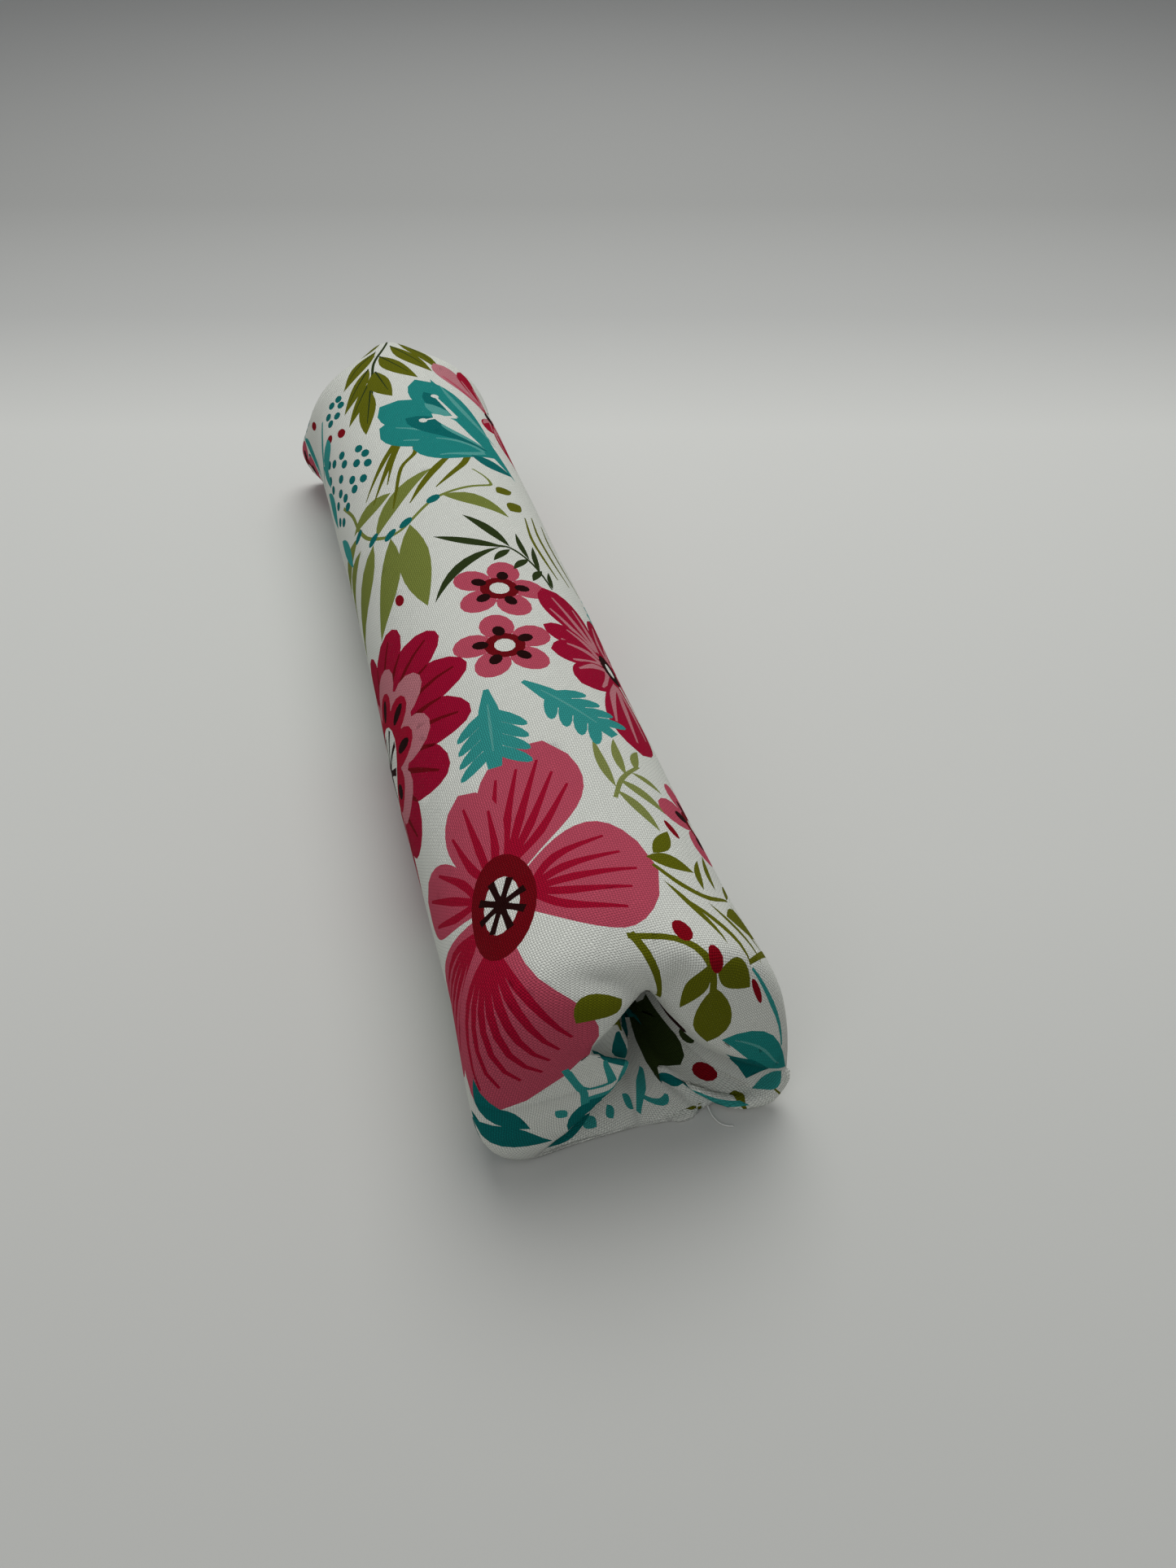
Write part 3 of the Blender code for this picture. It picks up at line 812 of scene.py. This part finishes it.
def dot_clusters():
    """Teal dots in rings, with crimson berries between."""
    for centres in (
        (
            (-21.6, 221.2), (-18.8, 220.8), (-18.6, 216.8), (-20.7, 213.3), (-23.7, 213.5),
            (-23.9, 218),
        ),
        (
            (-31, 194), (-26.5, 195), (-22.7, 193), (-22.7, 188.3), (-25.6, 185.2), (-31, 189),
            (-29, 199),
        ),
        (
            (-18.8, 182.7), (-15.6, 183.7), (-15.7, 178.7), (-18.2, 174), (-21.8, 173.8),
            (-21.7, 178.3), (-17, 188),
        ),
        ((-30.6, 179.7), (-26, 176), (-26, 171.5), (-29.7, 170), (-32, 174), (-27.6, 181)),
    ):
        for centre in centres:
            spot(DARK_TEAL, centre, 2.3, 3.9, 14, 10)
    spot(BERRY, (-25.6, 207.3), 2.6, 4.4, 12)
    spot(BERRY, (-20.8, 202.7), 2.6, 5.2, 14)
    stroke(TEAL, ((-27, 221), (-30, 212), (-33, 206), (-38, 204)), (0.8, 1.6, 1.4, 0.6))
    leaf(TEAL, (-26.6, 209.6), (-31, 198.4), 6.4, -0.4)
    leaf(TEAL, (-33, 206), (-32, 192), 3.0, 0.4)
    leaf(TEAL, (-36, 196), (-35, 176), 5.4, 0.8)
    leaf(TEAL, (-34, 168), (-30.6, 150), 4.0, 0.6)


def near_leaves():
    """Teal leaves at the near end, low on the left lobe, round its fold and at the right corner."""
    leaf(DARK_TEAL, (-35.2, 9.8), (-47.8, -1.2), 4.4, -0.5)
    leaf(DARK_TEAL, (-45.0, 9.8), (-53.4, -4.0), 5.0, 0.6)
    leaf(DARK_TEAL, (-46.0, 9.0), (-66.0, 8.4), 5.4, -1.2)
    leaf(DARK_TEAL, (-52.0, -7.2), (-43.6, -15.0), 4.4, 0.4)
    leaf(DARK_TEAL, (-23.4, -7.2), (-36.4, -16.8), 3.8, 0.3)
    leaf(DARK_TEAL, (-26.4, -17.4), (-36.6, -23.0), 4.0)
    leaf(TEAL, (-47.6, -7.4), (-44.8, -5.2), 1.9)
    stroke(TEAL, ((-31.2, -4.5), (-38.7, -9), (-45.6, -10.4)), (1.1, 1.2, 1.5))
    stroke(TEAL, ((-32.4, -5.6), (-40, -10.4), (-39.6, -14.6), (-31, -11)), (0.8, 1.2, 1.6, 0.6))
    stroke(TEAL, ((-44.2, -10.4), (-43.2, -15.6), (-32, -16.4)), (1.2, 1.4, 0.8))
    stroke(OLIVE, ((-17, -8.6), (-23, -16), (-30, -23)), (1.0, 1.6, 0.8))
    leaf(HIBISCUS, (21.4, -7.8), (46.6, 3.2), 6.8, 0.4)
    leaf(DARK_TEAL, (25.6, -10.6), (54.0, -2.8), 8.0, 0.6, 0.6)
    stroke(PALE_TEAL, ((24.4, -6.2), (33, -2.2), (42, 1.2)), (0.3, 0.6, 0.3))
    stroke(TEAL, ((20.8, 7.9), (28, 4.7), (37, 2.7)), (0.5, 1.2, 0.5))


def far_flower():
    """The crimson flower high on the right flank at the far end."""
    heart = np.array([25.4, 207.0])
    for ink, way, long, wide in (
        (BLUSH, 124, 26, 9), (CRIMSON, 104, 24, 7), (CRIMSON, 250, 14, 5), (CRIMSON, 278, 27, 9),
        (BLUSH, 312, 22, 9), (BLUSH, 30, 18, 9),
    ):
        petal(ink, heart, way, long, wide, 2, BLUSH if ink == CRIMSON else ROSE)
    spot(MAROON, heart, 4.0, 6.0)


def turned_in_print_and_painted_shade():
    """Leaves and berries on the cloth turned in at the near mouth, and on its floor flap; dark
    leaves deep in the mouth are painted shade.
    """
    spot(BERRY, (-99.5, -9.1), 2.6, 6.2, -25)
    spot(PINE, (52.6, -15.6), 4.2, 3.4)
    spot(PINE, (-104, -15.6), 4.2, 3.4)
    # Painted shade: a printed olive leaf in the hollow, inked near-black for the shadow there
    leaf(PINE, (-89.0, -3.0), (-102.0, -28.0), 7.6, -0.6, 0.5)
    leaf(DARK_TEAL, (-95.4, -2.4), (-89.0, -2.6), 3.4)
    leaf(TEAL, (-107, 5.0), (-98, 6.4), 3.0)
    stroke(DARK_TEAL, ((-81, -10), (-88, -15), (-95, -17)), (1.0, 2.4, 1.4))
    for base, tip, width in (
        ((-78, 2.2), (-74.4, -1.2), 2.2), ((-72, 2), (-70.6, -0.9), 1.6),
        ((-69, 2), (-66.2, -1.2), 1.8),
    ):
        leaf(TEAL, base, tip, width)
    stroke(TEAL, ((-80, 3), (-83.6, -2.6), (-86.8, -7.6)), (1.3, 1.8, 0.8))
    stroke(TEAL, ((-82, -0.4), (-85, 0.4), (-87.6, -1.6)), (1.0, 1.6, 0.7))
    stroke(TEAL, ((-98, 3), (-96, -0.6), (-95.6, -3)), (1.6, 1.4, 0.8))
    leaf(DARK_TEAL, (-61.4, 2.0), (-67.6, -1.2), 3.0)
    leaf(DARK_TEAL, (-63.4, -3.0), (-74, -6.0), 3.0)
    # Painted shade: dark pine and maroon leaves deep in the mouth, where it lies in shadow
    leaf(PINE, (4.6, -8), (-26, -24), 13, 0, 0.5)
    leaf(MAROON, (3.0, -6), (21, -22), 8, 0, 0.5)
    leaf(PINE, (-58, -22), (-100, -22), 9, 0, 0.5)
    leaf(MAROON, (18, -27), (57, -27), 8, 0, 0.5)


motifs = (
    rose, berry_sprig, fern, grasses, small_flowers, side_flower, coral_leaves, layered_flower,
    dark_sprig, leafy_branch, roots, teal_flower, olive_branch, dot_clusters, near_leaves,
    far_flower, turned_in_print_and_painted_shade,
)
for motif, du, dv in (
    (grasses, -76, 0), (fern, -70, -10), (teal_flower, -90, -150), (roots, -90, -150),
    (small_flowers, -92, 0), (coral_leaves, -94, -8), (leafy_branch, -62, 6), (rose, -72, 186),
    (berry_sprig, 38, 16), (coral_leaves, 43, 50), (rose, 76, 126), (small_flowers, 46, 100),
    (dark_sprig, 37, 102), (rose, 2, 262), (teal_flower, 33, 84), (roots, 33, 84),
    (leafy_branch, -64, 128), (dot_clusters, -28, 56),
):
    shifted(motif, du, dv)
for motif in motifs:
    motif()
small_flower((27.5, 43), 5, 36)

# The left corner of the far end: a small flower, a ring of dots and narrow teal leaves
small_flower((-51, 240), 5, 12, 1.15)
for centre in ((-30, 244), (-33.4, 243), (-35, 239.6), (-33, 236.6), (-29.6, 236.4), (-28, 240)):
    spot(DARK_TEAL, centre, 2.3, 3.9, 14, 10)
spot(BERRY, (-31.4, 228), 2.4, 4.6, 12)
leaf(TEAL, (-38, 240), (-44.5, 222), 4.2, 0.8)
leaf(TEAL, (-39, 224), (-47, 208), 3.6, -0.6)
leaf(DARK_TEAL, (-47, 222), (-56, 206), 4.4, 0.8)
leaf(TEAL, (-56, 222), (-68, 212), 4.6, 0.8)
stroke(TEAL, ((-36, 246), (-41, 234), (-46, 224), (-52, 214)), (0.6, 1.1, 1.2, 0.5))


# The flat cloth is divided along every outline, so that each print edge is crisp, with
# points closer together at the near end, where the folds are tight.
def scattered(v_from, v_to, gap):
    """Points spread evenly over the cloth between two lengths."""
    across = np.arange(U_LOW + gap, U_HIGH - gap / 2, gap)
    along = np.arange(v_from, v_to - 0.01, gap)
    u, v = np.meshgrid(across, along)
    u = u + (np.arange(len(along)) % 2)[:, None] * gap / 2
    return np.stack([u.ravel(), v.ravel()], -1)[np.ravel(u < U_HIGH - gap / 3)]


def edge_points(gap):
    """The cut edge of the cloth, all round."""
    n, m = round((U_HIGH - U_LOW) / gap), round((V_HIGH - V_LOW) / gap)
    u, v = np.linspace(U_LOW, U_HIGH, n + 1), np.linspace(V_LOW, V_HIGH, m + 1)
    return np.array(
        [(a, V_LOW) for a in u[:-1]] + [(U_HIGH, b) for b in v[:-1]]
        + [(a, V_HIGH) for a in u[:0:-1]] + [(U_LOW, b) for b in v[:0:-1]]
    )


EDGE_GAP = 1.2
border = edge_points(EDGE_GAP)
filling = np.concatenate([
    scattered(V_LOW + EDGE_GAP, 36, 0.95),
    scattered(36, 214, 1.9),
    scattered(214, V_HIGH - EDGE_GAP / 2, 1.3),
])
flat_points = [*border, *filling]
rims = [list(range(len(border)))]
inks = [BARE]
for ink, outline_points in art:
    x, y = outline_points.T
    if (x * np.roll(y, -1) - np.roll(x, -1) * y).sum() < 0:
        outline_points = outline_points[::-1]
    low, high = outline_points.min(0), outline_points.max(0)
    if high[0] < U_LOW or low[0] > U_HIGH or high[1] < V_LOW or low[1] > V_HIGH:
        continue
    rims.append(list(range(len(flat_points), len(flat_points) + len(outline_points))))
    flat_points.extend(outline_points)
    inks.append(ink)
cut = delaunay_2d_cdt([Vector(p) for p in flat_points], [], rims, 0, 1e-5)
flat = np.array([tuple(p) for p in cut[0]])
triangles = np.array([face for face in cut[2]])
inside_of = cut[5]
kept = [i for i in range(len(triangles)) if 0 in inside_of[i]]
triangles = triangles[kept]
top_ink = np.array([inks[max(inside_of[i])] for i in kept])

cloth_points = on_cloth(flat[:, 0], flat[:, 1])
mesh = bpy.data.meshes.new("printed_cloth")
mesh.from_pydata(cloth_points.tolist(), [], triangles.tolist())
mesh.shade_smooth()
uv = mesh.uv_layers.new(name="OFBake")
corner_points = flat[triangles.ravel()]
flat_size = np.array([U_HIGH - U_LOW, V_HIGH - V_LOW])
uv.data.foreach_set("uv", ((corner_points - [U_LOW, V_LOW]) / flat_size).astype(np.float32).ravel())
ink_layer = mesh.color_attributes.new("ink", "FLOAT_COLOR", "CORNER")
per_corner = np.concatenate(
    [np.repeat(top_ink, 3, axis=0), np.ones((3 * len(triangles), 1))], axis=1,
)
ink_layer.data.foreach_set("color", per_corner.astype(np.float32).ravel())
cloth = bpy.data.objects.new("printed_cloth", mesh)
bpy.context.scene.collection.objects.link(cloth)
thicken(cloth, CLOTH_THICKNESS * MM)
coordinates = np.empty(3 * len(mesh.vertices), np.float32)
mesh.vertices.foreach_get("co", coordinates)
coordinates[2::3] = np.maximum(coordinates[2::3], 0)  # the table presses it flat
mesh.vertices.foreach_set("co", coordinates)
mesh.update()

# Plain-weave cotton, sixty threads to the inch, with flat printed inks and painted weave shade
cotton, graph, shader = finish("printed_cotton", 0.88, Specular_IOR_Level=0.04)
PITCH = 0.42
where = graph.node("UVMap", {"uv_map": "OFBake"})
apart = graph.node("SeparateXYZ", inputs={"Vector": where})
place = graph.node("TexCoord", output="Object")
wander = graph.node("TexNoise", inputs={"Vector": place, "Scale": 330.0, "Detail": 2.0})
v_out = Socket(graph.tree, apart.output.node.outputs[1])
u_thread = apart * float(flat_size[0] / PITCH * math.pi) + 5.0 * wander
v_thread = v_out * float(flat_size[1] / PITCH * math.pi) - 4.0 * wander
warp = u_thread.math("ABSOLUTE", u_thread.math("SINE", u_thread))
weft = v_thread.math("ABSOLUTE", v_thread.math("SINE", v_thread))
crossing = u_thread.math("SINE", u_thread) * v_thread.math("SINE", v_thread)
warp_over = warp * (0.5 + 0.5 * crossing)
weave = warp_over.math("MAXIMUM", warp_over, weft * (0.5 - 0.5 * crossing))
pores = (1 - warp) * (1 - weft)
slub = graph.node("TexNoise", inputs={"Vector": place, "Scale": 700.0, "Detail": 2.0})
patch = graph.node("TexNoise", inputs={"Vector": place, "Scale": 160.0, "Detail": 2.0})
ink = graph.node("Attribute", {"attribute_name": "ink"})
worn = graph.mix(0.004 * slub + 0.003 * patch, ink, (0.74, 0.74, 0.70, 1))
# Painted weave light and shade: lighter thread tops, darker pores, crossings lit unevenly
weave_painted_shade = 0.80 + 0.36 * weave - 0.55 * pores + 0.10 * crossing
colour = graph.mix(
    1.0, worn, graph.node("CombineColor", inputs={0: weave_painted_shade, 1: weave_painted_shade, 2: weave_painted_shade}), "MULTIPLY"
)
feed(shader, "Base Color", colour)
feed(shader, "Roughness", 0.82 + 0.12 * weave)
height = weave + 0.5 * slub
feed(
    shader, "Normal",
    graph.node("Bump", inputs={"Strength": 0.8, "Distance": 0.0002, "Height": height}),
)
cloth.data.materials.append(cotton)
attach(cloth, "root")
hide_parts(*(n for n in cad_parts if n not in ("core_tube", "inner_turns")))


# ---------------------------------------------------------------------- The loose thread
# One spun cotton thread of the cloth's cut edge. It has come loose, and it hangs out under
# the near flap onto the table.

THREAD_RADIUS = 0.13
THREAD_SIDES = 8
thread_path = line_through((
    (12.6, -113.4, 1.3), (13.9, -116.2, 1.5), (14.7, -118.2, 0.9), (15.0, -120.9, 0.35),
    (15.7, -122.7, 0.3), (16.8, -123.6, 0.28), (17.9, -124.0, 0.26),
), 4)
mesh = bpy.data.meshes.new("loose_thread")
strand = []
for k, centre in enumerate(thread_path):
    ahead = thread_path[min(k + 1, len(thread_path) - 1)] - thread_path[max(k - 1, 0)]
    side = np.cross(ahead, (0, 0, 1)) / np.linalg.norm(np.cross(ahead, (0, 0, 1)))
    rise = np.cross(side, ahead) / np.linalg.norm(ahead)
    for i in range(THREAD_SIDES):
        a = math.tau * i / THREAD_SIDES
        strand.append(MM * (centre + THREAD_RADIUS * (math.cos(a) * side + math.sin(a) * rise)))
faces = [
    (first + i, first + (i + 1) % THREAD_SIDES, second + (i + 1) % THREAD_SIDES, second + i)
    for first, second in zip(
        range(0, len(strand), THREAD_SIDES), range(THREAD_SIDES, len(strand), THREAD_SIDES)
    )
    for i in range(THREAD_SIDES)
]
faces.append(tuple(reversed(range(THREAD_SIDES))))
faces.append(tuple(range(len(strand) - THREAD_SIDES, len(strand))))
mesh.from_pydata(np.array(strand).tolist(), [], faces)
mesh.shade_smooth()
thread = bpy.data.objects.new("loose_thread", mesh)
bpy.context.scene.collection.objects.link(thread)

spun, graph, shader = finish("spun_cotton", 0.9, Specular_IOR_Level=0.2)
fuzz = graph.node(
    "TexNoise",
    inputs={"Vector": graph.node("TexCoord", output="Object"), "Scale": 3000.0, "Detail": 2.0},
)
feed(shader, "Base Color", graph.mix(fuzz, (0.66, 0.66, 0.62, 1), (0.86, 0.86, 0.82, 1)))
feed(shader, "Roughness", 0.84 + 0.1 * fuzz)
mesh.materials.append(spun)
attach(thread, "root")


# ------------------------------------------------------------------- The table and light
# A pale matt surface under a large soft light from behind and to the right, and a weak one
# from the front left. Its tones are painted light and shade, fixed on the surface: pale round
# the roll, and painted shade darker beyond its far end.

TABLE_HALF = 3.0
corners = [(x, y, 0) for y in (-TABLE_HALF, TABLE_HALF) for x in (-TABLE_HALF, TABLE_HALF)]
mesh = bpy.data.meshes.new("table_top")
mesh.from_pydata(corners, [], [(0, 1, 3, 2)])
table_top = bpy.data.objects.new("table_top", mesh)
bpy.context.scene.collection.objects.link(table_top)
matt, graph, shader = finish("table_painted_shade", 0.9, Specular_IOR_Level=0.15)
place = graph.node("TexCoord", output="Object")
# Painted shade: the table's colour darkens along this way, standing in for the light's fall-off
PAINTED_FALL_OFF = (0.276311, 0.961069, 0)  # the way in which the surface gets darker
PAINTED_LIGHT_FROM = -0.214775  # where its tones begin, in metres along that way
along = graph.node("VectorMath", {"operation": "DOT_PRODUCT"}, {0: place, 1: PAINTED_FALL_OFF}, 1)
reach = along - PAINTED_LIGHT_FROM
# Painted light and shade in the stops: darker before the near end, pale round the roll, darker
# beyond
tone = graph.node("ValToRGB", {"stops": (
    (0.0, (0.53, 0.533, 0.505)), (0.16, (0.62, 0.624, 0.592)), (0.36, (0.64, 0.644, 0.612)),
    (0.46, (0.47, 0.473, 0.455)), (0.60, (0.375, 0.377, 0.362)), (1.0, (0.40, 0.402, 0.39)),
)}, {0: reach})
feed(shader, "Base Color", tone)
mesh.materials.append(matt)


def soft_light(name, place, target, size, watts):
    """A round area light that points at a target."""
    lamp = bpy.data.lights.new(name, "AREA")
    lamp.shape, lamp.size, lamp.energy = "DISK", size, watts
    made = bpy.data.objects.new(name, lamp)
    made.location = place
    made.rotation_mode = "QUATERNION"
    made.rotation_quaternion = (Vector(target) - Vector(place)).to_track_quat("-Z", "Y")
    bpy.context.scene.collection.objects.link(made)


soft_light("overhead", (0.15, 0.30, 0.75), (0, 0, 0), 0.7, 4.2)
soft_light("front_fill", (-0.5, -0.6, 0.7), (0, 0, 0), 0.6, 1.0)
world = bpy.data.worlds.new("room")
world.use_nodes = True
world.node_tree.nodes["Background"].inputs["Color"].default_value = (0.95, 0.97, 1.0, 1)
world.node_tree.nodes["Background"].inputs["Strength"].default_value = 0.30
bpy.context.scene.world = world
bpy.context.scene.view_settings.view_transform = "Standard"


# ---------------------------------------------------------------------------- The camera
# A wide lens, close to the near end, that looks down along the roll.

LOOK = Vector((0.19983, 0.69505, -0.69063))
camera_data = bpy.data.cameras.new("camera")
camera_data.lens, camera_data.sensor_width = 25.97, 36.0
camera_data.clip_start, camera_data.clip_end = 0.01, 20
camera = bpy.data.objects.new("camera", camera_data)
camera.location = (-0.03407, -0.21368, 0.178)
camera.rotation_mode = "QUATERNION"
camera.rotation_quaternion = LOOK.to_track_quat("-Z", "Y")
bpy.context.scene.collection.objects.link(camera)
bpy.context.scene.camera = camera
